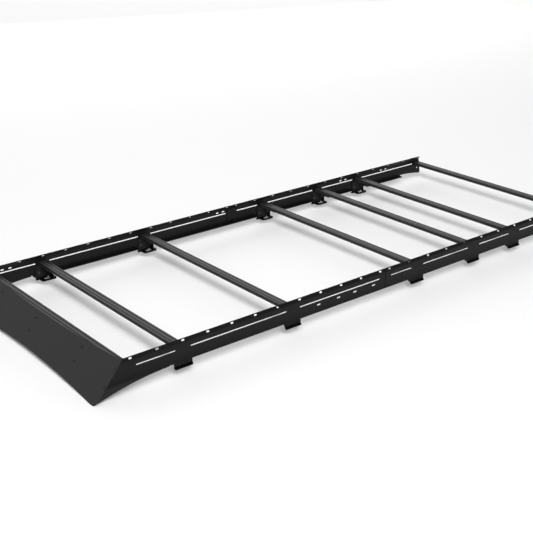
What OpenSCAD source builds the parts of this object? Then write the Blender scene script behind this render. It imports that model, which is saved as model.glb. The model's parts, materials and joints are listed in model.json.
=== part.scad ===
// Low van roof rack: two bent sheet side rails, seven slotted extrusion crossbars, ten roof feet
// and a sloped front fairing. Millimetres, +X towards the rear of the van, +Z up.

/* [Side rails] */
// Width over the outer faces of the side rails
rack_w = 1434; // [1300:1:1600]
// Height of a rail from its bottom flange to its top edge
rail_h = 121.5; // [114:0.5:140]
// Thickness of the rail sheet
rail_t = 4; // [3:0.5:5]
// Width of the inward bottom flange
flange_w = 38; // [30:1:44]
// Outer radius of the bottom bend
bend_r = 5.5; // [5:0.5:8]
// Length of the top lip along its own slope
lip_len = 21.5; // [19:0.5:24]
// Inward lean of the top lip in degrees
lip_lean = 28.5; // [15:0.5:35]
// Gap between the front and rear panels of a rail
seam_gap = 1; // [0.5:0.1:3]
// Corner radius of the panels at the seam
seam_r = 7; // [3:0.5:10]
// Radius of the curve under the front of a rail
front_arc_r = 1400; // [1200:10:2000]
// Start of the front curve ahead of the first foot
front_arc_start = 60; // [50:1:64]
// Distance from the first foot to the front end of the bottom flange
flange_front = 72; // [66:1:84]
// Length of the relief between the bottom flange and the front fin
relief_l = 7; // [5:1:16]
// Height of the relief between the bottom flange and the front fin
relief_h = 6; // [5.5:0.5:10]
// Inward lean of the front fin below the rail in degrees
fin_lean = 8; // [2:0.5:12]
// Radius of the curve under the tail of a rail
tail_arc_r = 1100; // [900:10:2000]
// Height of the relief behind the end of the bottom flange
tail_rise = 7; // [6:0.5:10]
// Length of the tail behind the bottom flange
tail_len = 221; // [200:1:300]
// How much shorter the bottom flange's rear end is at its inner edge
flange_taper = 12; // [4:1:20]
// How far the tail's top corner stands ahead of its bottom corner
tail_rake = 26; // [10:1:30]
// Radius of the tail's bottom corner
tail_r = 12; // [6:1:16]
// Radius of the round hole at the tail
tail_hole_r = 6; // [4:0.5:8]
// Height of the round hole at the tail
tail_hole_z = 33; // [28:1:40]
// Distance of the round hole from the rear end
tail_hole_end = 37; // [32:1:42]

/* [Rail slots] */
// Height of the long slots
slot_h = 8; // [7:0.5:10]
// Depth of the long slots' centre line below the rail's top edge
slot_drop = 50; // [46:1:54]
// Plain width of rail left either side of each crossbar and of the seam
slot_keep = 45; // [42:1:60]
// Width of a tie-down hole in the lip
tie_w = 20; // [14:0.5:24]
// Height of a tie-down hole in the lip
tie_h = 9; // [7:0.5:10]
// Distance of the tie-down holes' centre line from the lip's edge
tie_edge = 9.5; // [8:0.5:11]
// Spacing of the tie-down holes in the front panels
tie_pitch_front = 150; // [120:1:180]
// Spacing of the tie-down holes in the rear panels
tie_pitch_rear = 160; // [120:1:180]
// Distance from the seam to the first tie-down hole either side
tie_seam = 37.5; // [30:0.5:45]
// Width of the four step slots in the left front panel
step_slot_w = 28; // [20:1:34]
// Height of the step slots
step_slot_h = 10; // [8:0.5:12]
// Depth of the step slots below the top edge
step_slot_drop = 74.5; // [70:0.5:80]
// Spacing of the two step slots in each pair
step_slot_pitch = 145; // [130:1:160]
// Distance between the centres of the two pairs of step slots
step_pair_gap = 268; // [240:1:290]
// Distance of the middle of the step slots behind the second crossbar
step_behind_bar = 388; // [370:1:400]
// Width of the awning slots in the right rail
awning_slot_w = 21; // [16:1:26]
// Height of the awning slots
awning_slot_h = 9; // [7:0.5:10]
// Depth of the awning slots below the top edge
awning_drop = 33.5; // [32:0.5:36]
// Spacing of the two slots in each awning pair
awning_pitch = 48; // [40:1:60]

/* [Crossbars] */
// Width of a crossbar along the van
bar_w = 48; // [44:1:54]
// Height of a crossbar
bar_h = 22.5; // [21:0.5:25]
// Depth of the crossbars' top faces below the rails' top edge
bar_drop = 41; // [36:1:44]
// Wall thickness of the crossbar profile
bar_wall = 2; // [1.6:0.1:2.4]
// Thickness of the inner webs of the crossbar profile
bar_web = 1.5; // [1:0.1:2]
// Width of a slot mouth in the profile
groove_w = 5; // [4:0.25:6]
// Width of the pocket behind a slot mouth
pocket_w = 10; // [8:0.5:11]
// Depth of the pocket behind a slot mouth
pocket_d = 4; // [3:0.25:4.5]
// Distance of the top slots from the profile's middle
groove_off = 11.5; // [10:0.5:12]
// Distance from the front crossbar to the first foot
front_bay = 315; // [290:1:340]
// Distance from the first to the second foot
bay_1 = 706; // [650:1:760]
// Distance from the second to the third foot
bay_2 = 954; // [900:1:1000]
// Distance from the third to the fourth foot
bay_3 = 501; // [460:1:560]
// Distance from the fourth to the fifth foot
bay_4 = 390; // [350:1:430]
// Distance from the fifth foot to the rear crossbar
rear_bay = 632; // [600:1:680]
// Distance from the second foot to the rail seam
seam_behind = 686; // [660:1:700]
// Distance from the rear crossbar's centre to the rear end of the rails
rear_reach = 45; // [42:1:60]

/* [Feet] */
// Depth of a foot's sole below the rail's bottom flange
foot_drop = 31.5; // [28:0.5:40]
// Width of a foot's upright along the van
foot_w = 107; // [96:1:114]
// Distance of the upright's middle behind the crossbar's
foot_back = 1.5; // [0:0.5:3]
// Thickness of a foot's upright and sole
foot_t = 5; // [4:0.5:6]
// Depth of the rib along the upright's rear edge
rib_d = 15; // [12:1:20]
// Height of the rib's top above the bottom flange
rib_top = 40; // [20:1:46]
// Length of the sole's tongue along the van
tongue_l = 94; // [84:1:104]
// Distance of the tongue's middle behind the crossbar's
tongue_back = 15; // [10:1:18]
// Corner radius of the tongue
tongue_r = 16; // [10:1:20]
// Reach of the sole inwards of the rail's inner face
sole_in = 47; // [42:1:55]
// Reach of the sole outwards of the rail's outer face
sole_out = 6; // [2:0.5:8]
// Radius of the strip's ends under the rail
strip_r = 7; // [4:0.5:7]
// Distance from the crossbar's middle to the front end of the gap in the bottom flange
gap_front = 57; // [56:1:64]
// Distance from the crossbar's middle to the rear end of the gap in the bottom flange
gap_rear = 75; // [66:1:84]
// Depth of the ledge that carries the crossbar
ledge_d = 42; // [36:1:50]
// Width of the ledge that carries the crossbar
ledge_w = 44; // [38:1:52]
// Length of the slot in the sole
sole_slot_l = 42; // [36:1:50]
// Width of the slot in the sole
sole_slot_w = 9; // [8.5:0.5:11]
// Distance of the sole's slot from the rail's inner face
sole_slot_in = 26; // [24:1:30]
// Thickness of the rubber pad under a sole
pad_t = 3; // [2:0.5:5]

/* [Roof studs] */
// Radius of a stud's shank
stud_r = 4; // [3:0.5:4]
// Length of stud standing below the pad
stud_below = 16; // [10:1:20]
// Length of stud standing above the nut
stud_above = 4; // [2:0.5:8]
// Distance of a stud behind the middle of its foot
stud_back = 14; // [8:1:16]
// Radius of the washer on the sole
washer_r = 8.5; // [7:0.5:9]
// Thickness of the washer
washer_t = 1.6; // [1:0.1:2.5]
// Width of the nut across its flats
nut_af = 13; // [11:0.5:15]
// Height of the nut
nut_h = 6.5; // [5:0.5:8]

/* [Seam plates] */
// Width of the plate behind a rail seam
splice_w = 76; // [60:1:84]
// Height of the plate behind a rail seam
splice_h = 74; // [60:1:80]
// Thickness of the plate behind a rail seam
splice_t = 4; // [3:0.5:6]

/* [Fairing] */
// Slope of the fairing in degrees
fairing_slope = 51.2; // [48:0.1:55]
// Thickness of the fairing sheet
fairing_t = 3; // [2:0.5:4]
// Distance of the fairing's top edge ahead of the first foot
fairing_ahead = 347; // [340:1:380]
// Length down the slope at the middle of the fairing
fairing_mid = 218; // [200:1:240]
// Length down the slope at the two ends of the fairing
fairing_end = 250; // [242:1:270]
// How far the top edge dips down the slope in the middle
fairing_dip = 24; // [18:1:40]
// Width of the straight end of the lower edge
fairing_flat = 50; // [40:1:70]
// Corner radius of the fairing's lower corners
fairing_r = 28; // [8:1:40]
// Leg length of the angle that ties the fairing to a rail
angle_leg = 36; // [30:1:40]
// Sheet thickness of the angles, stays and end brackets
angle_t = 3; // [2:0.5:4]
// Distance down the slope from the top edge to the side angles
angle_start = 24; // [20:1:30]
// Length of the side angles down the slope
angle_len = 150; // [130:1:170]
// Height of the upright leg of the brackets under the end crossbars
bracket_leg = 15; // [12:0.5:16]
// Width of a fairing stay
stay_w = 34; // [28:1:44]
// Distance of the left fairing stay from the middle
stay_left = 406; // [360:1:480]
// How far the middle fairing stay stands to the right of the middle
stay_middle = 50; // [0:1:60]
// Distance of the right fairing stay from the middle
stay_right = 450; // [360:1:480]
// Distance down the slope to the lower end of the stays
stay_end = 160; // [150:1:175]

/* [Hidden] */
$fn = 64;

// Clearance of a stud's collar in the sole's slot
collar_clear = 0.2;
// Amount by which cutting shapes run past the faces they cut
past = 1;
// Relief where one leg of an angle stops short beside the other
bend_gap = 0.5;
half_w = rack_w / 2;
wall_in = half_w - rail_t;

// Places along the rack, measured from the first foot
foot_x = [0, bay_1, bay_1 + bay_2, bay_1 + bay_2 + bay_3, bay_1 + bay_2 + bay_3 + bay_4];
front_bar_x = -front_bay;
rear_bar_x = foot_x[4] + rear_bay;
seam_x = foot_x[1] + seam_behind;
rear_x = rear_bar_x + rear_reach;
flange_end_x = rear_x - tail_len;
bar_x = concat([front_bar_x], foot_x, [rear_bar_x]);
bar_z = rail_h - bar_drop - bar_h;

// Sides of the long slots: every crossbar and the seam interrupt them
keep_x = [front_bar_x, foot_x[0], foot_x[1], seam_x, foot_x[2], foot_x[3], foot_x[4], rear_bar_x];
slot_z = rail_h - slot_drop;

// The lip's crease, where the wall starts to lean inwards
crease_z = rail_h - lip_len * cos(lip_lean);
// Height of the crease over the front fin
fin_z = bend_r / 3;
fin_depth = 80;

// Tie-down holes run from the seam to the ends of the lip
tie_end_room = tie_w / 2 + rail_t;
tie_front_room = seam_x - tie_seam - (rail_front_x(rail_h) + tie_end_room);
tie_front_n = floor(tie_front_room / tie_pitch_front) + 1;
tie_rear_room = rear_x - tail_rake - tie_end_room / 2 - (seam_x + tie_seam);
tie_rear_n = floor(tie_rear_room / tie_pitch_rear) + 1;

// Awning brackets fit at four places along the right rail
awning_x = [(front_bar_x + foot_x[0]) / 2 - 72, seam_x - 92, foot_x[3] + 249, foot_x[4] + 271];

// The whole rack stands on the lower edge of the fairing, centred over the origin
low_z = rail_h - fairing_end * sin(fairing_slope) - fairing_t * cos(fairing_slope);
fairing_front_x = -fairing_ahead - fairing_end * cos(fairing_slope);
origin = [-(fairing_front_x + rear_x) / 2, 0, -low_z];

sole_z = -foot_drop;
fairing_dip_r = (half_w * half_w + fairing_dip * fairing_dip) / (2 * fairing_dip);
arch_half = half_w - fairing_flat;
arch_rise = fairing_end - fairing_mid;
arch_r = (arch_half * arch_half + arch_rise * arch_rise) / (2 * arch_rise);

// A point behind the fairing's front plane: so far down the slope, and so far off the plane
function behind_fairing(down, off) = [
    -fairing_ahead - down * cos(fairing_slope) + off * sin(fairing_slope),
    rail_h - down * sin(fairing_slope) - off * cos(fairing_slope)
];
// Where a plane so far behind the fairing's front crosses a height
function slope_x(z, off) = -fairing_ahead - (rail_h - z) / tan(fairing_slope) + off / sin(fairing_slope);
// Where the rail's front edge lies at a height, behind the fairing sheet
function rail_front_x(z) = slope_x(z, fairing_t);

module placed() translate(origin) children();

// Side 1 is the right rail, side -1 the left one
module on_side(side) {
    if (side > 0) children();
    else mirror([0, 1, 0]) children();
}

// Upright outline in X and Z pushed through the whole width
module across(y0, y1) {
    translate([0, y1, 0]) rotate([90, 0, 0]) linear_extrude(y1 - y0) children();
}

// A slot made of a bar and two discs, which keeps its round ends exact
module oblong(l, h) {
    square([l - h, h], center = true);
    translate([-(l - h) / 2, 0]) circle(d = h);
    translate([(l - h) / 2, 0]) circle(d = h);
}

module corner_round(r) {
    difference() {
        translate([-past, -past]) square(r + past);
        translate([r, r]) circle(r = r);
    }
}

// Section of a rail, X inwards from the outer face and Y up from the bottom flange
module wall_section(bottom) {
    lean_x = lip_len * sin(lip_lean);
    polygon([
        [0, bottom], [0, crease_z], [lean_x, rail_h],
        [lean_x + rail_t * cos(lip_lean), rail_h - rail_t * sin(lip_lean)],
        [rail_t, crease_z - rail_t * tan(lip_lean / 2)], [rail_t, bottom]
    ]);
}

module flanged_section() {
    wall_section(bend_r);
    translate([bend_r, 0]) square([flange_w - bend_r, rail_t]);
    translate([bend_r, bend_r]) intersection() {
        difference() {
            circle(r = bend_r);
            circle(r = bend_r - rail_t);
        }
        translate([-bend_r, -bend_r]) square(bend_r);
    }
}

module fin_section() {
    wall_section(fin_z);
    translate([0, fin_z]) rotate(fin_lean) translate([0, -fin_depth]) square([rail_t, fin_depth + past]);
}

// Sweeps a rail section along X between two stations of the right rail
module rail_run(x0, x1) {
    translate([x0, half_w, 0]) rotate([90, 0, 90]) mirror([1, 0]) linear_extrude(x1 - x0) children();
}

// Long slots between the crossbars that fall inside a panel
module long_slots(x0, x1) {
    for (i = [0 : len(keep_x) - 2]) {
        a = keep_x[i] + slot_keep;
        b = keep_x[i + 1] - slot_keep;
        if (a > x0 && b < x1) translate([(a + b) / 2, slot_z]) oblong(b - a, slot_h);
    }
}

// Tie-down holes, cut square to the leaning lip
module tie_holes(first_x, pitch, count) {
    for (i = [0 : count - 1])
        translate([first_x + i * pitch, half_w, crease_z])
            rotate([90 + lip_lean, 0, 0]) translate([0, lip_len - tie_edge, 0])
                linear_extrude(4 * rail_t, center = true) oblong(tie_w, tie_h);
}

// Gaps in the bottom flange that the feet pass through
module foot_gaps() {
    for (x = foot_x)
        translate([x - gap_front, half_w - flange_w - past, -past])
            cube([gap_front + gap_rear, flange_w - rail_t + past, bend_r + 2 * past]);
}

module front_panel_outline() {
    difference() {
        polygon([
            [rail_front_x(rail_h + past), rail_h + past], [seam_x - seam_gap / 2, rail_h + past],
            [seam_x - seam_gap / 2, -past], [-flange_front, -past], [-flange_front, relief_h],
            [-flange_front - relief_l, relief_h], [-flange_front - relief_l, -fin_depth],
            [rail_front_x(-fin_depth), -fin_depth]
        ]);
        translate([-front_arc_start, -front_arc_r]) circle(r = front_arc_r, $fn = 720);
        translate([seam_x - seam_gap / 2, rail_h]) rotate(180) corner_round(seam_r);
    }
}

// The tail's lower corner, where the raked edge meets the curve underneath
tail_z = tail_rise - tail_arc_r + sqrt(tail_arc_r * tail_arc_r - tail_len * tail_len);
tail_up = atan2(rail_h - tail_z, -tail_rake);
tail_fore = 180 - asin(tail_len / tail_arc_r);
function from_tail(length, angle) = [rear_x + length * cos(angle), tail_z + length * sin(angle)];

module tail_corner() {
    half = (tail_fore - tail_up) / 2;
    middle = tail_up + half;
    difference() {
        polygon([
            from_tail(-past, middle), from_tail(tail_r / tan(half), tail_up),
            from_tail(tail_r / sin(half), middle), from_tail(tail_r / tan(half), tail_fore)
        ]);
        translate(from_tail(tail_r / sin(half), middle)) circle(r = tail_r);
    }
}

module rear_panel_outline() {
    start_x = seam_x + seam_gap / 2;
    difference() {
        polygon([
            [start_x, rail_h + past], [start_x, -past], [flange_end_x, -past], [flange_end_x, -fin_depth / 2],
            [rear_x, -fin_depth / 2], [rear_x, tail_z], [rear_x - tail_rake, rail_h],
            [rear_x - tail_rake, rail_h + past]
        ]);
        intersection() {
            translate([flange_end_x, tail_rise - tail_arc_r]) circle(r = tail_arc_r, $fn = 720);
            translate([flange_end_x, -fin_depth]) square([tail_len + past, 2 * fin_depth]);
        }
        tail_corner();
        translate([start_x, rail_h]) rotate(-90) corner_round(seam_r);
    }
}

// One side's front panel; slots that only one side has come in as children
module front_panel(side) {
    on_side(side) difference() {
        intersection() {
            union() {
                rail_run(-flange_front, seam_x) flanged_section();
                rail_run(fairing_front_x, -flange_front) fin_section();
            }
            across(0, half_w + past) front_panel_outline();
        }
        across(wall_in - bend_r, half_w + past) long_slots(fairing_front_x, seam_x);
        tie_holes(seam_x - tie_seam - (tie_front_n - 1) * tie_pitch_front, tie_pitch_front, tie_front_n);
        foot_gaps();
        across(wall_in - past, half_w + past) children();
    }
}

module rear_panel(side) {
    on_side(side) difference() {
        intersection() {
            union() {
                rail_run(seam_x, flange_end_x) flanged_section();
                rail_run(flange_end_x, rear_x) wall_section(-fin_depth / 2);
            }
            across(0, half_w + past) rear_panel_outline();
        }
        across(wall_in - bend_r, half_w + past) long_slots(seam_x, rear_x);
        tie_holes(seam_x + tie_seam, tie_pitch_rear, tie_rear_n);
        foot_gaps();
        translate([0, 0, -past]) linear_extrude(bend_r + 2 * past) polygon([
            [flange_end_x, wall_in], [flange_end_x + past, wall_in],
            [flange_end_x + past, half_w - flange_w - past],
            [flange_end_x - flange_taper, half_w - flange_w - past]
        ]);
        translate([rear_x - tail_hole_end, half_w + past, tail_hole_z]) rotate([90, 0, 0])
            cylinder(r = tail_hole_r, h = rail_t + 2 * past);
        across(wall_in - past, half_w + past) children();
    }
}

module step_slots() {
    for (pair = [-1, 1]) for (slot = [-1, 1])
        translate([foot_x[1] + step_behind_bar + (pair * step_pair_gap + slot * step_slot_pitch) / 2,
                   rail_h - step_slot_drop]) oblong(step_slot_w, step_slot_h);
}

module awning_slots(places) {
    for (x = places) for (slot = [-1, 1])
        translate([x + slot * awning_pitch / 2, rail_h - awning_drop]) oblong(awning_slot_w, awning_slot_h);
}

module side_rail_front_left() color("#26282a") placed() front_panel(-1) step_slots();
module side_rail_rear_left() color("#26282a") placed() rear_panel(-1);
module side_rail_front_right() color("#26282a") placed() front_panel(1) awning_slots([awning_x[0], awning_x[1]]);
module side_rail_rear_right() color("#26282a") placed() rear_panel(1) awning_slots([awning_x[2], awning_x[3]]);

// Plate behind the seam, between the lip and the bottom flange
module splice_plate(side) {
    color("#1d1f20") placed() on_side(side)
        translate([seam_x - splice_w / 2, wall_in - splice_t, (rail_h - splice_h) / 2])
            cube([splice_w, splice_t, splice_h]);
}

// Slot mouth and pocket, entering from the top of the profile
module groove() {
    translate([-groove_w / 2, -bar_wall - past]) square([groove_w, bar_wall + 2 * past]);
    translate([-pocket_w / 2, -bar_wall - pocket_d]) square([pocket_w, pocket_d]);
}

// Crossbar profile: two slots in the top and bottom, one in each side, hollow cells between
module bar_section() {
    cell_z = bar_wall + pocket_d + bar_web;
    side_x = bar_w / 2 - bar_wall - pocket_d;
    difference() {
        translate([-bar_w / 2, 0]) square([bar_w, bar_h]);
        for (s = [-1, 1]) {
            translate([s * groove_off, bar_h]) groove();
            translate([s * groove_off, 0]) rotate(180) groove();
            translate([s * bar_w / 2, bar_h / 2]) rotate(-s * 90) intersection() {
                groove();
                square([pocket_w - 1, 4 * pocket_d], center = true);
            }
            translate([s * groove_off - pocket_w / 2, cell_z]) square([pocket_w, bar_h - 2 * cell_z]);
        }
        translate([-(groove_off - pocket_w / 2 - bar_web), bar_wall])
            square([2 * (groove_off - pocket_w / 2 - bar_web), bar_h - 2 * bar_wall]);
    }
}

module crossbar(x) {
    color("#4b4d4f") placed()
        translate([x, wall_in, bar_z]) rotate([90, 0, 0]) linear_extrude(2 * wall_in) bar_section();
}

// Foot: a ribbed upright against the rail's inner face, a ledge under the crossbar and a slotted sole
module foot(side, x) {
    upright_z = sole_z + pad_t;
    color("#101112") placed() on_side(side) translate([x, 0, 0]) {
        translate([foot_back - foot_w / 2, wall_in - foot_t, upright_z]) cube([foot_w, foot_t, bar_z - upright_z]);
        translate([foot_back + foot_w / 2 - foot_t, wall_in - rib_d, upright_z])
            cube([foot_t, rib_d, rib_top - upright_z]);
        translate([-ledge_w / 2, wall_in - ledge_d, bar_z - foot_t]) cube([ledge_w, ledge_d, foot_t]);
        translate([0, 0, upright_z]) linear_extrude(foot_t) sole_outline();
    }
}

// The sole seen from above: a strip under the rail, and a tongue with the slot that its stud slides along
module sole_outline() {
    strip_w = sole_out + rail_t + foot_t;
    tongue_w = rail_t + sole_in;
    difference() {
        union() {
            translate([foot_back, half_w + sole_out - strip_w / 2]) rounded_plate(foot_w, strip_w, strip_r);
            translate([tongue_back, half_w - tongue_w / 2]) rounded_plate(tongue_l, tongue_w, tongue_r);
        }
        translate([tongue_back, wall_in - sole_slot_in]) oblong(sole_slot_l, sole_slot_w);
    }
}

module rounded_plate(l, w, r) {
    square([l - 2 * r, w], center = true);
    square([l, w - 2 * r], center = true);
    for (a = [-1, 1]) for (b = [-1, 1])
        translate([a * (l / 2 - r), b * (w / 2 - r)]) circle(r = r);
}

// Rubber pads under the soles, with the same slot
module foot_pads(side) {
    color("#0b0b0c") placed() on_side(side) for (x = foot_x)
        translate([x, 0, sole_z]) linear_extrude(pad_t) sole_outline();
}

// Stud, washer and nut of each foot; a collar centres the stud in the sole's slot
module roof_studs(side) {
    sole_top = sole_z + pad_t + foot_t;
    collar_r = (sole_slot_w - collar_clear) / 2;
    color("#b9bcbe") placed() on_side(side) for (x = foot_x)
        translate([x + stud_back, wall_in - sole_slot_in, 0]) {
            translate([0, 0, sole_z - stud_below])
                cylinder(r = stud_r, h = sole_top + washer_t + nut_h + stud_above - sole_z + stud_below);
            translate([0, 0, sole_z]) cylinder(r = collar_r, h = sole_top - sole_z);
            translate([0, 0, sole_top]) cylinder(r = washer_r, h = washer_t);
            translate([0, 0, sole_top + washer_t])
                linear_extrude(nut_h) circle(r = nut_af / 2 / cos(30), $fn = 6);
        }
}

// Angle under a crossbar that has no foot
module bar_bracket(side, x) {
    color("#17191a") placed() on_side(side) translate([x - ledge_w / 2, 0, 0]) {
        translate([0, wall_in - angle_t, bar_z - bracket_leg]) cube([ledge_w, angle_t, bracket_leg]);
        translate([0, wall_in - ledge_d, bar_z - angle_t]) cube([ledge_w, ledge_d, angle_t]);
    }
}

// Lays a flat outline, X across the rack and Y down the slope, on the fairing's front plane.
// Its extrusion goes backwards from that plane.
module on_fairing() {
    translate([-fairing_ahead, 0, rail_h]) rotate([0, 180 - fairing_slope, 0]) rotate([0, 0, -90]) children();
}

module fairing_outline() {
    difference() {
        translate([-half_w, 0]) square([rack_w, fairing_end]);
        translate([0, fairing_dip - fairing_dip_r]) circle(r = fairing_dip_r, $fn = 1440);
        intersection() {
            translate([0, fairing_mid + arch_r]) circle(r = arch_r, $fn = 1440);
            translate([-arch_half, 0]) square([2 * arch_half, 2 * fairing_end]);
        }
        translate([-half_w, fairing_end]) rotate(-90) corner_round(fairing_r);
        translate([half_w, fairing_end]) rotate(180) corner_round(fairing_r);
    }
}

module fairing_panel() {
    color("#3e4041") placed() on_fairing() linear_extrude(fairing_t) fairing_outline();
}

// Angle that ties the fairing's side to the rail's inner face; its rail leg stops over the fin's crease
module fairing_angle(side) {
    back = fairing_t + angle_t;
    leg_z = fin_z + angle_t;
    color("#26282a") placed() on_side(side) difference() {
        on_fairing() translate([-wall_in, angle_start + angle_len, 0]) rotate([90, 0, 0])
            linear_extrude(angle_len) polygon([
                [0, fairing_t], [angle_leg, fairing_t], [angle_leg, back], [angle_t, back],
                [angle_t, angle_leg], [0, angle_leg]
            ]);
        translate([fairing_front_x, wall_in - angle_t - bend_gap, leg_z - rail_h])
            cube([fairing_end, angle_leg, rail_h]);
    }
}

// Strip from under the front crossbar, bent down the back of the fairing
module fairing_stay(y) {
    back = fairing_t + angle_t;
    under = bar_z - angle_t;
    rear = front_bar_x + bar_w / 2;
    color("#26282a") placed() across(y - stay_w / 2, y + stay_w / 2) polygon([
        [rear, bar_z], [rear, under], [slope_x(under, back), under], behind_fairing(stay_end, back),
        behind_fairing(stay_end, fairing_t), [slope_x(bar_z, fairing_t), bar_z]
    ]);
}

side_rail_front_left();
side_rail_rear_left();
side_rail_front_right();
side_rail_rear_right();
splice_plate(-1);  // splice_plate_left
splice_plate(1);  // splice_plate_right
crossbar(front_bar_x);  // crossbar_front
crossbar(foot_x[0]);  // crossbar_1
crossbar(foot_x[1]);  // crossbar_2
crossbar(foot_x[2]);  // crossbar_3
crossbar(foot_x[3]);  // crossbar_4
crossbar(foot_x[4]);  // crossbar_5
crossbar(rear_bar_x);  // crossbar_rear
foot(-1, foot_x[0]);  // foot_left_1
foot(-1, foot_x[1]);  // foot_left_2
foot(-1, foot_x[2]);  // foot_left_3
foot(-1, foot_x[3]);  // foot_left_4
foot(-1, foot_x[4]);  // foot_left_5
foot(1, foot_x[0]);  // foot_right_1
foot(1, foot_x[1]);  // foot_right_2
foot(1, foot_x[2]);  // foot_right_3
foot(1, foot_x[3]);  // foot_right_4
foot(1, foot_x[4]);  // foot_right_5
foot_pads(-1);  // foot_pads_left
foot_pads(1);  // foot_pads_right
roof_studs(-1);  // roof_studs_left
roof_studs(1);  // roof_studs_right
bar_bracket(-1, front_bar_x);  // bar_bracket_front_left
bar_bracket(1, front_bar_x);  // bar_bracket_front_right
bar_bracket(-1, rear_bar_x);  // bar_bracket_rear_left
bar_bracket(1, rear_bar_x);  // bar_bracket_rear_right
fairing_panel();
fairing_angle(-1);  // fairing_angle_left
fairing_angle(1);  // fairing_angle_right
fairing_stay(-stay_left);  // fairing_stay_left
fairing_stay(stay_middle);  // fairing_stay_middle
fairing_stay(stay_right);  // fairing_stay_right
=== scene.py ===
"""Van roof rack: finishes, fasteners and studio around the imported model.

Lengths are metres, +X is towards the rear of the van, -Y is its left side and +Z is up.
"""
import json
import math

import bpy
import numpy as np
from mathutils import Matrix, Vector


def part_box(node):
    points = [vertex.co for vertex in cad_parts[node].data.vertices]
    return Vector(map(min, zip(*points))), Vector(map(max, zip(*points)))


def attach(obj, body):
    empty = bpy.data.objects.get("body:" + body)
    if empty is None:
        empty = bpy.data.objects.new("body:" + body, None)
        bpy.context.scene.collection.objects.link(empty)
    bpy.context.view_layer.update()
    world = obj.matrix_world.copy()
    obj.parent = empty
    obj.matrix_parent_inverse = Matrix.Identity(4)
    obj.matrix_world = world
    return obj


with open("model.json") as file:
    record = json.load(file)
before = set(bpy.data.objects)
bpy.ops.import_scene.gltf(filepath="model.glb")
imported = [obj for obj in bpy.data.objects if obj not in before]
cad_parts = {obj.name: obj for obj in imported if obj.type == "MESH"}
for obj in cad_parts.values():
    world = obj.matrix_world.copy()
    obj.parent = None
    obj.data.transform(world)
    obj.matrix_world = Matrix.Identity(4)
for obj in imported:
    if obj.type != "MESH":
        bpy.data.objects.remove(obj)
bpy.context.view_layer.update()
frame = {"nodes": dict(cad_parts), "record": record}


def middle(node):
    """The middle of a CAD node's box."""
    low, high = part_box(node)
    return (low + high) / 2


# ---------------------------------------------------------------- places on the CAD model
SIDES = (("left", -1.0), ("right", 1.0))
FAIRING_SLOPE = 51.2  # degrees
FAIRING_SHEET = 0.003
FAIRING_BACKED = 0.006  # the panel with a stay or an angle behind it
FOOT_PLATE = 0.005
BRACKET_SHEET = 0.003
BAR_SLOT = 0.0115  # from a crossbar's middle to each of its slots
CREASE_DROP = 0.1197  # from the rails' top edges down to the crease over the front fins

bar_low, bar_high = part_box("crossbar_1")
rail_low, rail_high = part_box("side_rail_front_left")
first_foot = (bar_low.x + bar_high.x) / 2
feet_x = [middle(f"crossbar_{number}").x for number in range(1, 6)]
end_bars_x = [middle(f"crossbar_{name}").x for name in ("front", "rear")]
rail_top = rail_high.z
crease = rail_top - CREASE_DROP
wall_outer = -rail_low.y
wall_inner = bar_high.y
seam_x = (rail_high.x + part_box("side_rail_rear_left")[0].x) / 2
sole_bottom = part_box("foot_left_1")[0].z


# ---------------------------------------------------------------- shader maths
class Value:
    """A node's output socket that can be added, multiplied and compared like a number."""

    def __init__(self, finish, socket):
        self.finish = finish
        self.socket = socket

    def _math(self, operation, *terms):
        return self.finish.node("ShaderNodeMath", {"operation": operation}, terms)

    def __add__(self, other):
        return self._math("ADD", self, other)

    def __sub__(self, other):
        return self._math("SUBTRACT", self, other)

    def __rsub__(self, other):
        return self._math("SUBTRACT", other, self)

    def __mul__(self, other):
        return self._math("MULTIPLY", self, other)

    def __truediv__(self, other):
        return self._math("DIVIDE", self, other)

    def __gt__(self, other):
        return self._math("GREATER_THAN", self, other)

    def __lt__(self, other):
        return self._math("LESS_THAN", self, other)

    def size(self):
        return self._math("ABSOLUTE", self)

    def clamped(self):
        return self.finish.node("ShaderNodeClamp", {}, (self, 0.0, 1.0))


MIX_FACTOR, MIX_LOW, MIX_HIGH, MIX_COLOUR = 0, 6, 7, 2  # the mix node's colour sockets, by place


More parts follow.
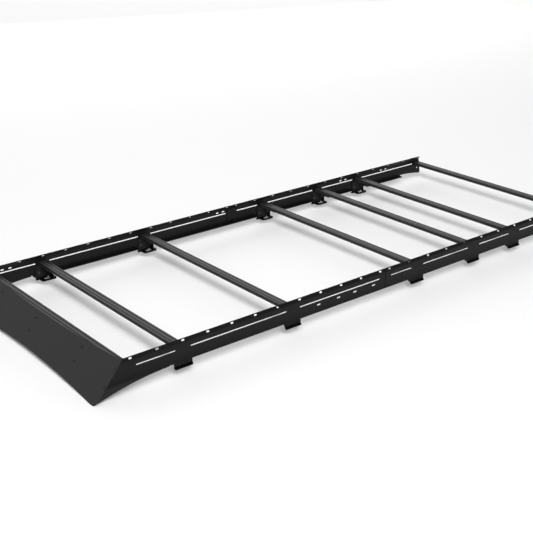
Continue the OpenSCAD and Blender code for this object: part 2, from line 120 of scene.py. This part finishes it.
class Finish:
    """One material, built from expressions."""

    def __init__(self, name, **constants):
        self.material = bpy.data.materials.new(name)
        self.material.use_nodes = True
        self.tree = self.material.node_tree
        self.tree.nodes.clear()
        self.shader = self.tree.nodes.new("ShaderNodeBsdfPrincipled")
        output = self.tree.nodes.new("ShaderNodeOutputMaterial")
        self.tree.links.new(self.shader.outputs["BSDF"], output.inputs["Surface"])
        self.set(**constants)

    def set(self, **sockets):
        """Feeds the shader's sockets, named with an underscore for each blank."""
        for name, value in sockets.items():
            self._feed(self.shader.inputs[name.replace("_", " ")], value)
        return self

    def _feed(self, socket, value):
        if isinstance(value, Value):
            self.tree.links.new(value.socket, socket)
        elif socket.type == "RGBA":
            socket.default_value = (*value, 1.0)
        else:
            socket.default_value = value

    def node(self, kind, settings, sockets, output=0):
        """Adds a node: its settings first, then its sockets by place or by name."""
        made = self.tree.nodes.new(kind)
        for name, value in settings.items():
            setattr(made, name, value)
        pairs = sockets.items() if isinstance(sockets, dict) else enumerate(sockets)
        for key, value in pairs:
            self._feed(made.inputs[key], value)
        return Value(self, made.outputs[output])

    def place(self):
        """Object coordinates in metres."""
        return self.node("ShaderNodeTexCoord", {}, (), "Object")

    def axis(self, name):
        """One object coordinate in metres."""
        return self.node("ShaderNodeSeparateXYZ", {}, (self.place(),), name)

    def noise(self, scale, detail, stretch=(1.0, 1.0, 1.0)):
        """Noise with scale features a metre, on object coordinates multiplied by stretch."""
        where = self.node("ShaderNodeMapping", {}, {"Vector": self.place(), "Scale": stretch})
        return self.node("ShaderNodeTexNoise", {}, {"Vector": where, "Scale": scale, "Detail": detail})

    def about(self, level, *noises):
        """The number level, moved up and down by noises. Each is a pair: a noise and its whole span."""
        total, *others = [noise * span for noise, span in noises]
        for other in others:
            total = total + other
        return total + (level - sum(span for _, span in noises) / 2)

    def shade(self, low, high, amount):
        """A colour between low and high by amount."""
        sockets = {MIX_FACTOR: amount, MIX_LOW: low, MIX_HIGH: high}
        return self.node("ShaderNodeMix", {"data_type": "RGBA"}, sockets, MIX_COLOUR)

    def bump(self, height, distance, strength):
        """Ends a finish: height is seen as relief, distance metres deep."""
        sockets = {"Strength": strength, "Distance": distance, "Height": height}
        return self.set(Normal=self.node("ShaderNodeBump", {}, sockets)).material


# ---------------------------------------------------------------- finishes
PEEL = {"distance": 0.00006, "strength": 0.5}  # relief of powder coat
PEEL_SCALE = 900.0  # features a metre
DUST_SHARE = 0.3  # of the change of tone over a sheet
RAIL_SPECULAR = 0.04
RAIL_GLOSS = 0.27  # weight of the rails' clear coat
RAIL_SHADE_FADE = 0.13  # painted shade: the gloss the lower edges of their outer faces lack, so they look darker there
SHADE_FADE_TOP = 0.045  # where the painted shade starts, over the crease
FIN_GLOSS = 0.125  # what the front fins have more of it, which mostly gives back on them the gloss the painted shade takes off
OUTER_SKIN = 0.002  # depth that counts as a rail's outer face
SEAM_SHADE_EDGE = 0.0035  # width of the painted shade on each side of a seam's middle, where the clear coat is left off
FOOT_SPECULAR = 0.05
FOOT_TONES = ((0.0006, 0.0006, 0.0006), (0.0115, 0.0116, 0.0118))  # the sole, nearly black as painted shade, and the upright
FOOT_SHADE_LOW, FOOT_SHADE_HIGH = 0.0065, 0.0130  # where the painted shade fades out, over a sole's underside
BAR_TONES = ((0.018, 0.0182, 0.0184), (0.029, 0.0292, 0.0295))
BAR_ROUGHNESS = 0.40
# The front crossbar's specular is lower: a darker copy of the bar finish, painted shade behind the fairing's
# top.
BAR_SPECULAR, FRONT_BAR_SPECULAR = 0.30, 0.23
BAR_SKIN = 0.0012  # depth that counts as a crossbar's outer face
# Painted shade: the tone inside the crossbars' slots and hollows
SLOT_SHADE_TONE = (0.0005, 0.0005, 0.0005)
SLOT_ROUGHNESS = 0.55  # what a slot's inside has more than the bar's faces


def coat_noises(finish):
    """The noises of powder coat on a sheet: orange peel, a slow drift over the sheet, and dust."""
    peel = finish.noise(scale=PEEL_SCALE, detail=1.0)
    drift = finish.noise(scale=3.0, detail=3.0)
    dust = finish.noise(scale=60.0, detail=4.0)
    return peel, drift, dust


def set_coat(finish, dark, light, rough, drift, dust):
    """Tone and roughness of powder coat, led by the drift and a little by the dust."""
    finish.set(Base_Color=finish.shade(dark, light, drift * (1.0 - DUST_SHARE) + dust * DUST_SHARE))
    finish.set(Roughness=finish.about(rough, (drift, 0.08), (dust, 0.06)))


def powder_coat(name, dark, light, rough, specular):
    """Powder coat: fine orange peel, a slow drift of tone and gloss over the sheet, and a little dust in it."""
    finish = Finish(name, Specular_IOR_Level=specular)
    peel, drift, dust = coat_noises(finish)
    set_coat(finish, dark, light, rough, drift, dust)
    return finish.bump(peel, **PEEL)


def rail_coat(name, dark, light, rough):
    """The rails' powder coat: as powder_coat, with its gloss as a thin clear coat.

    On the outer faces the gloss fades from a little over the crease down to it: painted shade, darker towards
    the bottom, with less of the pale floor reflected. The front fins below the crease have more of it, and the
    narrow edges beside the seams have none: a painted shade line along each seam.
    """
    finish = Finish(name, Specular_IOR_Level=RAIL_SPECULAR, Coat_Roughness=rough)
    peel, drift, dust = coat_noises(finish)
    set_coat(finish, dark, light, rough, drift, dust)
    height = finish.axis("Z")
    outside = finish.axis("Y").size() > wall_outer - OUTER_SKIN
    # Painted shade: less clear coat towards the outer faces' lower edges, so they look darker towards the
    # bottom.
    dull = (1.0 - ((height - crease) / SHADE_FADE_TOP).clamped()) * outside
    fin = height < crease
    gloss = finish.about(1.0, (drift, 0.2)) * (RAIL_GLOSS - dull * RAIL_SHADE_FADE + fin * FIN_GLOSS)
    # Painted shade: no clear coat along each seam, so it shows as a dark line.
    seam = (finish.axis("X") - seam_x).size() < SEAM_SHADE_EDGE
    finish.set(Coat_Weight=(gloss * (1.0 - seam)).clamped())
    return finish.bump(peel, **PEEL)


def shaded_foot_coat(name, rough):
    """The feet: powder coat, nearly black over the sole and the lowest part of the upright: painted shade under
    the rails.
    """
    finish = Finish(name, Specular_IOR_Level=FOOT_SPECULAR)
    peel = finish.noise(scale=PEEL_SCALE, detail=1.0)
    drift = finish.noise(scale=8.0, detail=3.0)
    # Painted shade: the sole and the upright's lowest part take the nearly black tone.
    above_shade = ((finish.axis("Z") - (sole_bottom + FOOT_SHADE_LOW)) / (FOOT_SHADE_HIGH - FOOT_SHADE_LOW)).clamped()
    finish.set(Base_Color=finish.shade(*FOOT_TONES, above_shade * finish.about(1.0, (drift, 0.4))))
    finish.set(Roughness=finish.about(rough, (drift, 0.1)))
    return finish.bump(peel, **PEEL)


def drawn_profile(name, specular, middle_x):
    """Extruded profile: faint lines along the bar (Y) from the die under a satin coat.

    Inside its slots and hollows, less than half the profile's width from middle_x and between its faces, it is
    dark and rougher: painted shade in its recesses.
    """
    finish = Finish(name, Specular_IOR_Level=specular)
    lines = finish.noise(scale=900.0, detail=2.0, stretch=(1.0, 0.01, 1.0))
    drift = finish.noise(scale=5.0, detail=2.0)
    height = finish.axis("Z")
    from_middle = (finish.axis("X") - middle_x).size()
    # Painted shade: points inside the slots and hollows, within the profile's faces, get the dark slot tone and
    # more roughness.
    inside = from_middle < (bar_high.x - bar_low.x) / 2 - BAR_SKIN
    inside = inside * (height > bar_low.z + BAR_SKIN) * (height < bar_high.z - BAR_SKIN)
    skin = finish.shade(*BAR_TONES, lines * 0.6 + drift * 0.4)
    finish.set(Base_Color=finish.shade(skin, SLOT_SHADE_TONE, inside))
    finish.set(Roughness=(finish.about(BAR_ROUGHNESS, (lines, 0.12)) + inside * SLOT_ROUGHNESS).clamped())
    return finish.bump(lines, distance=0.00005, strength=0.4)


def bright_steel(name, dark, light, rough):
    """Stainless fasteners: bright metal with fine turning marks and small tone changes."""
    finish = Finish(name, Metallic=1.0)
    marks = finish.noise(scale=1500.0, detail=2.0, stretch=(1.0, 1.0, 8.0))
    finish.set(Base_Color=finish.shade(dark, light, marks), Roughness=finish.about(rough, (marks, 0.15)))
    return finish.bump(marks, distance=0.00003, strength=0.5)


def black_oxide(name, dark, light, rough):
    """Blackened screws: dark metal, a little browner and duller where the oxide is thin."""
    finish = Finish(name, Metallic=0.6, Specular_IOR_Level=0.4)
    patches = finish.noise(scale=400.0, detail=3.0)
    finish.set(Base_Color=finish.shade(dark, light, patches), Roughness=finish.about(rough, (patches, 0.2)))
    return finish.bump(patches, distance=0.00003, strength=0.4)


def zinc_plate(name, dark, light, rough):
    """Zinc plated sheet: dull bright metal, mottled by its grain."""
    finish = Finish(name, Metallic=0.45)
    grain = finish.noise(scale=700.0, detail=3.0)
    finish.set(Base_Color=finish.shade(dark, light, grain), Roughness=finish.about(rough, (grain, 0.15)))
    return finish.bump(grain, distance=0.00003, strength=0.5)


def rubber_sheet(name, dark, light, rough):
    """Moulded rubber: dull black with a fine grain."""
    finish = Finish(name, Specular_IOR_Level=0.2)
    grain = finish.noise(scale=1200.0, detail=2.0)
    finish.set(Base_Color=finish.shade(dark, light, grain), Roughness=finish.about(rough, (grain, 0.1)))
    return finish.bump(grain, distance=0.0001, strength=0.6)


FINISHES = {
    "rail_black": rail_coat("rail_black", (0.0030, 0.0030, 0.0031), (0.0046, 0.0046, 0.0047), rough=0.38),
    "bracket_black": powder_coat("bracket_black", (0.004, 0.004, 0.0041), (0.006, 0.006, 0.0061),
                                 rough=0.5, specular=0.15),
    "foot_black": shaded_foot_coat("foot_black", rough=0.5),
    "fairing_grey": powder_coat("fairing_grey", (0.0200, 0.0201, 0.0203), (0.0240, 0.0241, 0.0243),
                                rough=0.5, specular=0.17),
    "pad_rubber": rubber_sheet("pad_rubber", (0.006, 0.006, 0.006), (0.012, 0.012, 0.012), rough=0.80),
    "stud_steel": bright_steel("stud_steel", (0.55, 0.56, 0.57), (0.75, 0.76, 0.77), rough=0.275),
    "zinc_plate": zinc_plate("zinc_plate", (0.36, 0.36, 0.37), (0.50, 0.50, 0.51), rough=0.525),
    "bolt_grey": black_oxide("bolt_grey", (0.036, 0.036, 0.037), (0.066, 0.065, 0.064), rough=0.45),
    "bolt_black": black_oxide("bolt_black", (0.010, 0.010, 0.011), (0.030, 0.028, 0.027), rough=0.4),
}


def dress_nodes():
    """Gives every CAD node its finish. Each crossbar has its own, with the slots found from its middle."""
    for part in frame["record"]["subparts"]:
        name, slot = part["node"], part["material_slot"]
        if slot == "bar_grey":
            # Painted shade: the front crossbar gets the lower specular.
            specular = FRONT_BAR_SPECULAR if name == "crossbar_front" else BAR_SPECULAR
            finish = drawn_profile(f"bar_grey_{name}", specular, middle(name).x)
        else:
            finish = FINISHES[slot]
        materials = frame["nodes"][name].data.materials
        materials.clear()
        materials.append(finish)


# ---------------------------------------------------------------- fasteners' shapes
def unit(vectors):
    """The vectors, each made one long."""
    return vectors / np.linalg.norm(vectors, axis=-1, keepdims=True)


def full_turn(steps):
    """Even steps round a full turn, in radians."""
    return np.linspace(0.0, 2 * math.pi, steps, endpoint=False)


def hexagon(turn):
    """Distance from a hexagon's middle to its outline, in apothems: 1 over the cosine of the angle to the
    nearest flat's middle."""
    return 1.0 / np.cos((turn + math.pi / 6) % (math.pi / 3) - math.pi / 6)


def ringed_mesh(name, points, material):
    """One mesh of closed shapes. Points (shape, ring, angle, xyz) run ring by ring from seat to top: quads join
    each ring to the next one, and a polygon closes each end."""
    shapes, rings, around = points.shape[:3]
    grid = np.arange(rings * around).reshape(rings, around)
    low, high = grid[:-1], grid[1:]
    quads = np.stack([low, np.roll(low, -1, 1), np.roll(high, -1, 1), high], axis=-1).reshape(-1, 4)
    start = (np.arange(shapes) * rings * around)[:, None, None]
    ends = np.stack([grid[0][::-1], grid[-1]])[None] + start
    faces = (quads[None] + start).reshape(-1, 4).tolist() + ends.reshape(-1, around).tolist()
    mesh = bpy.data.meshes.new(name)
    mesh.from_pydata(points.reshape(-1, 3).tolist(), [], faces)
    mesh.materials.append(FINISHES[material])
    piece = bpy.data.objects.new(name, mesh)
    bpy.context.scene.collection.objects.link(piece)
    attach(piece, "root")


def turned_piece(name, places, outward, reach, height, turn, material):
    """One mesh of equal turned shapes: reach (ring, angle) is the distance from the axis, height the ring's
    distance along it. Each place adds its own point and its own pair of axes square to its outward axis."""
    places = np.asarray(places, float)
    outward = unit(np.broadcast_to(np.asarray(outward, float), places.shape))
    nearly_upright = np.abs(outward[:, 2:3]) > 0.9
    across = unit(np.cross(np.where(nearly_upright, (1.0, 0.0, 0.0), (0.0, 0.0, 1.0)), outward))
    upward = np.cross(outward, across)
    flat = reach[:, :, None] * np.stack([np.cos(turn), np.sin(turn)], axis=1)[None]
    points = (places[:, None, None, :] + height[None, :, None, None] * outward[:, None, None, :]
              + flat[None, :, :, 0:1] * across[:, None, None, :]
              + flat[None, :, :, 1:2] * upward[:, None, None, :])
    ringed_mesh(name, points, material)


def button_screws(name, places, outward, radius, material="bolt_black"):
    """Button head socket screws on thin washers, one at each place.

    A profile of distance from the axis and height over the seat turns round each screw's outward axis. The
    washer is a flat ring, the head a quarter of an ellipse that flattens at the top, and the socket a hexagon:
    there the distance is its apothem over the cosine of the angle to the nearest flat's middle.
    """
    rise, socket_radius = radius * 0.55, radius * 0.56
    washer_top, washer_ease = 0.0012, 0.0004
    washer = np.array([[1.16 * radius, 0.0], [1.16 * radius, washer_top - washer_ease],
                       [1.12 * radius, washer_top], [radius, washer_top]])
    arc = np.linspace(0.0, 1.15, 7)  # radians along the ellipse, up to the socket
    dome = np.stack([radius * np.cos(arc), washer_top + rise * np.sin(arc) / math.sin(arc[-1])], axis=1)
    top, socket_ease = dome[-1, 1], 0.0003
    socket = np.array([[socket_radius * 1.12, top], [socket_radius, top - socket_ease],
                       [socket_radius, rise * 0.45], [socket_radius * 0.02, rise * 0.38]])
    hexed = np.concatenate([np.zeros(len(washer) + len(dome)), [0.0, 1.0, 1.0, 1.0]])
    profile = np.concatenate([washer, dome, socket])
    turn = full_turn(36)
    reach = profile[:, 0, None] * (1.0 + hexed[:, None] * (hexagon(turn) * 0.93 - 1.0))
    turned_piece(name, places, outward, reach, profile[:, 1], turn, material)


def hexagon_screws(name, places, outward, radius, material="bolt_black"):
    """Hexagon head screws on washers, one at each place.

    The washer is a flat ring. The head's distance from the axis is the apothem over the cosine of the angle to
    the nearest flat's middle, cut back to a circle at the top edge, where the chamfer is.
    """
    turn = full_turn(48)
    ring = np.ones(turn.size)
    apothem = radius * 0.80
    head = apothem * hexagon(turn)
    washer_top, washer_ease = 0.0013, 0.0004
    top = washer_top + radius * 0.72
    profile = [
        (radius * 1.20 * ring, 0.0), (radius * 1.20 * ring, washer_top - washer_ease),
        (radius * 1.16 * ring, washer_top), (head, washer_top), (head, top - radius * 0.10),
        (np.minimum(head, apothem * 1.04), top), (apothem * 0.94 * ring, top), (1e-5 * ring, top),
    ]
    reach, height = (np.array(column) for column in zip(*profile))
    turned_piece(name, places, outward, reach, height, turn, material)


# ---------------------------------------------------------------- fasteners' places
STAY_SCREWS = {"left": (0.056, 0.131), "middle": (0.065, 0.139), "right": (0.056, 0.131)}  # down the slope
SIDE_SCREWS = (0.052, 0.148)  # down the slope
SIDE_SCREWS_IN = 0.008  # from the rails' inner faces
ANGLE_SCREWS = (0.052, 0.115)  # down the slope
ANGLE_SCREWS_BEHIND = 0.022  # behind the fairing's front plane
FOOT_SCREWS = (-0.033, 0.040)  # along X from a foot's crossbar
FOOT_SCREWS_DROP = 0.108  # under the rails' top edges
BAR_SCREWS = (-BAR_SLOT, BAR_SLOT)  # along X from a crossbar's middle
BAR_SCREWS_IN = 0.023  # from the rails' inner faces
BRACKET_SCREWS = (-0.012, 0.012)  # along X from a crossbar's middle
BRACKET_SCREWS_DROP = 0.009  # under the crossbars
SEAM_SCREWS = (-0.024, 0.024)  # from a seam plate's middle, both ways
PLATE_SIZE = (0.036, 0.019)  # along and across a clamp plate
PLATE_THICK, PLATE_EASE = 0.0012, 0.0004
PLATE_BACK, PLATE_IN = 0.008, 0.026  # behind a foot's crossbar, and from the rails' inner faces


def fairing_axes():
    """The fairing's outward direction, the one down its slope, and the top of its front plane at y = 0."""
    slope = math.radians(FAIRING_SLOPE)
    outward = np.array((-math.sin(slope), 0.0, math.cos(slope)))
    down = np.array((-math.cos(slope), 0.0, -math.sin(slope)))
    top = np.array((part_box("fairing_panel")[1].x - FAIRING_SHEET * math.sin(slope), 0.0, rail_top))
    return outward, down, top


def fairing_screws():
    """Screws through the fairing into the three stays and the two side angles, with nuts behind."""
    outward, down, top = fairing_axes()
    stays = [top + down * depth + (0.0, middle(f"fairing_stay_{name}").y, 0.0)
             for name, depths in STAY_SCREWS.items() for depth in depths]
    sides = [top + down * depth + (0.0, side * (wall_inner - SIDE_SCREWS_IN), 0.0)
             for _, side in SIDES for depth in SIDE_SCREWS]
    button_screws("fairing_screws", stays + sides, outward, radius=0.0058)
    to_back = outward * FAIRING_BACKED
    hexagon_screws("fairing_nuts", np.array(stays) - to_back, -outward, radius=0.0055)
    hexagon_screws("fairing_side_nuts", np.array(sides) - to_back, -outward, radius=0.0039)


def angle_screws():
    """Screws from the inside through the fairing's side angles into the rails."""
    outward, down, top = fairing_axes()
    for name, side in SIDES:
        leg = (0.0, side * (wall_inner - BRACKET_SHEET), 0.0)
        places = [top + down * depth - outward * ANGLE_SCREWS_BEHIND + leg for depth in ANGLE_SCREWS]
        button_screws(f"angle_screws_{name}", places, (0.0, -side, 0.0), radius=0.0055)


def foot_screws():
    """Two screws through each upright into the rail, seen from the inside."""
    for name, side in SIDES:
        places = [(x + along, side * (wall_inner - FOOT_PLATE), rail_top - FOOT_SCREWS_DROP)
                  for x in feet_x for along in FOOT_SCREWS]
        hexagon_screws(f"foot_screws_{name}", places, (0.0, -side, 0.0), radius=0.0075,
                       material="bolt_grey")


def bar_screws():
    """Screws from below into the crossbars' bottom slots, through feet, end brackets and fairing stays."""
    for name, side in SIDES:
        across = side * (wall_inner - BAR_SCREWS_IN)
        places = [(x + along, across, bar_low.z - FOOT_PLATE) for x in feet_x for along in BAR_SCREWS]
        places += [(x + along, across, bar_low.z - BRACKET_SHEET) for x in end_bars_x for along in BAR_SCREWS]
        hexagon_screws(f"bar_screws_{name}", places, (0.0, 0.0, -1.0), radius=0.0060)
    places = [(end_bars_x[0] + along, middle(f"fairing_stay_{name}").y, bar_low.z - BRACKET_SHEET)
              for name in STAY_SCREWS for along in BAR_SCREWS]
    hexagon_screws("stay_screws", places, (0.0, 0.0, -1.0), radius=0.0055)


def bracket_screws():
    """Two screws through each end bracket's short leg into the rail."""
    for name, side in SIDES:
        places = [(x + along, side * (wall_inner - BRACKET_SHEET), bar_low.z - BRACKET_SCREWS_DROP)
                  for x in end_bars_x for along in BRACKET_SCREWS]
        button_screws(f"bracket_screws_{name}", places, (0.0, -side, 0.0), radius=0.0048)


def seam_screws():
    """Four screws through each seam plate, heads inside."""
    for name, side in SIDES:
        low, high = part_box(f"splice_plate_{name}")
        face = low.y if side > 0 else high.y
        centre = (low + high) / 2
        places = [(centre.x + along, face, centre.z + up) for along in SEAM_SCREWS for up in SEAM_SCREWS]
        button_screws(f"seam_screws_{name}", places, (0.0, -side, 0.0), radius=0.0060)


def clamp_plates():
    """A bright steel plate under each foot's nut, covering the sole's slot.

    Its outline is a superellipse, |u / a|^6 + |v / b|^6 = 1, in the ten soles' planes. Two rings of it make the
    wall, and a third one, drawn in, makes the eased top edge.
    """
    turn = full_turn(72)
    cos, sin = np.cos(turn), np.sin(turn)
    reach = (np.abs(cos) ** 6 + np.abs(sin) ** 6) ** (-1.0 / 6)
    half_length, half_width = (size / 2 for size in PLATE_SIZE)
    rings = ((0.0, 0.0), (0.0, PLATE_THICK - PLATE_EASE), (PLATE_EASE, PLATE_THICK))
    outline = np.array([np.stack([(half_length - inset) * cos * reach, (half_width - inset) * sin * reach,
                                  np.full(turn.size, height)], axis=-1) for inset, height in rings])
    for name, side in SIDES:
        sole_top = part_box(f"foot_{name}_1")[0].z + FOOT_PLATE
        places = np.array([(x + PLATE_BACK, side * (wall_inner - PLATE_IN), sole_top) for x in feet_x])
        points = places[:, None, None, :] + outline[None]
        ringed_mesh(f"clamp_plates_{name}", points, "zinc_plate")


# ---------------------------------------------------------------- studio
CAMERA_AHEAD = 2.4964  # ahead of the first feet
CAMERA_LEFT = 4.3996  # left of the rack's middle
CAMERA_OVER = 2.2100  # over the rails' top edges
CAMERA_HEADING = 50.657  # degrees from +X towards +Y
CAMERA_DIP = 22.452  # degrees below level
CAMERA_LENS, CAMERA_SENSOR = 69.0, 36.0  # millimetres
CAMERA_SIGHT = 200.0  # how far it sees

FLOOR_HALF = 40.0  # from the floor's middle to its sides
FLOOR_TONE = (0.88, 0.88, 0.88)
FLOOR_ROUGHNESS = 0.9

ROOM_LIGHT = 0.42
KEY_AHEAD = 1.91  # ahead of the first feet
KEY_ROW = (-3.4, -5.0, -6.6)  # the three key lamps' Y
KEY_OVER = 4.64  # over the floor
KEY_SIZE = (2.4, 2.0)
KEY_POWER = 3.2
# The other lamps: place, point aimed at, size, watts
CEILING = ((2.0, 17.0, 8.0), (2.0, 17.0, 0.0), (44.0, 20.0), 1700.0)
CEILING_REAR = ((11.0, 5.5, 7.0), (11.0, 5.5, 0.0), (12.0, 9.0), 150.0)
BEHIND = ((3.0, 9.0, 2.5), (0.0, 0.0, 0.2), (14.0, 4.0), 120.0)


def photographers_camera():
    """The photo's camera, solved from its vanishing points."""
    lens = bpy.data.cameras.new("camera")
    lens.lens = CAMERA_LENS
    lens.sensor_width = CAMERA_SENSOR
    lens.clip_end = CAMERA_SIGHT
    camera = bpy.data.objects.new("camera", lens)
    camera.location = (first_foot - CAMERA_AHEAD, -CAMERA_LEFT, rail_top + CAMERA_OVER)
    camera.rotation_euler = (math.radians(90 - CAMERA_DIP), 0, math.radians(CAMERA_HEADING - 90))
    bpy.context.scene.collection.objects.link(camera)
    bpy.context.scene.camera = camera


def pale_floor():
    """One plain square under the rack."""
    corners = [(x * FLOOR_HALF, y * FLOOR_HALF, 0.0) for x, y in ((-1, -1), (1, -1), (1, 1), (-1, 1))]
    mesh = bpy.data.meshes.new("floor")
    mesh.from_pydata(corners, [], [(0, 1, 2, 3)])
    floor = bpy.data.objects.new("floor", mesh)
    bpy.context.scene.collection.objects.link(floor)
    mesh.materials.append(Finish("floor", Base_Color=FLOOR_TONE, Roughness=FLOOR_ROUGHNESS).material)


def softbox(name, place, aim, size, power, even=False):
    """A rectangular lamp. An even one lights near and far things alike."""
    lamp = bpy.data.lights.new(name, "AREA")
    lamp.shape = "RECTANGLE"
    lamp.size, lamp.size_y = size
    lamp.energy = power
    if even:
        lamp.use_nodes = True
        tree = lamp.node_tree
        fade = tree.nodes.new("ShaderNodeLightFalloff")
        fade.inputs["Strength"].default_value = 1.0
        tree.links.new(fade.outputs["Constant"], tree.nodes["Emission"].inputs["Strength"])
    light = bpy.data.objects.new(name, lamp)
    light.location = place
    light.rotation_euler = (Vector(aim) - Vector(place)).to_track_quat("-Z", "Y").to_euler()
    bpy.context.scene.collection.objects.link(light)


def studio_light():
    """A row of three key lamps on the camera's side, a pale room, two ceiling lamps and one behind."""
    world = bpy.data.worlds.new("studio")
    bpy.context.scene.world = world
    world.use_nodes = True
    background = world.node_tree.nodes["Background"]
    background.inputs["Color"].default_value = (1.0, 1.0, 1.0, 1.0)
    background.inputs["Strength"].default_value = ROOM_LIGHT
    for number, across in enumerate(KEY_ROW):
        place = (first_foot - KEY_AHEAD, across, KEY_OVER)
        softbox(f"key_{number}", place, (0.0, 0.0, 0.0), KEY_SIZE, KEY_POWER, even=True)
    softbox("ceiling", *CEILING)
    softbox("ceiling_rear", *CEILING_REAR)
    softbox("behind", *BEHIND)


bpy.context.scene.view_settings.view_transform = "Standard"
photographers_camera()
pale_floor()
studio_light()
dress_nodes()
fairing_screws()
angle_screws()
foot_screws()
bar_screws()
bracket_screws()
seam_screws()
clamp_plates()
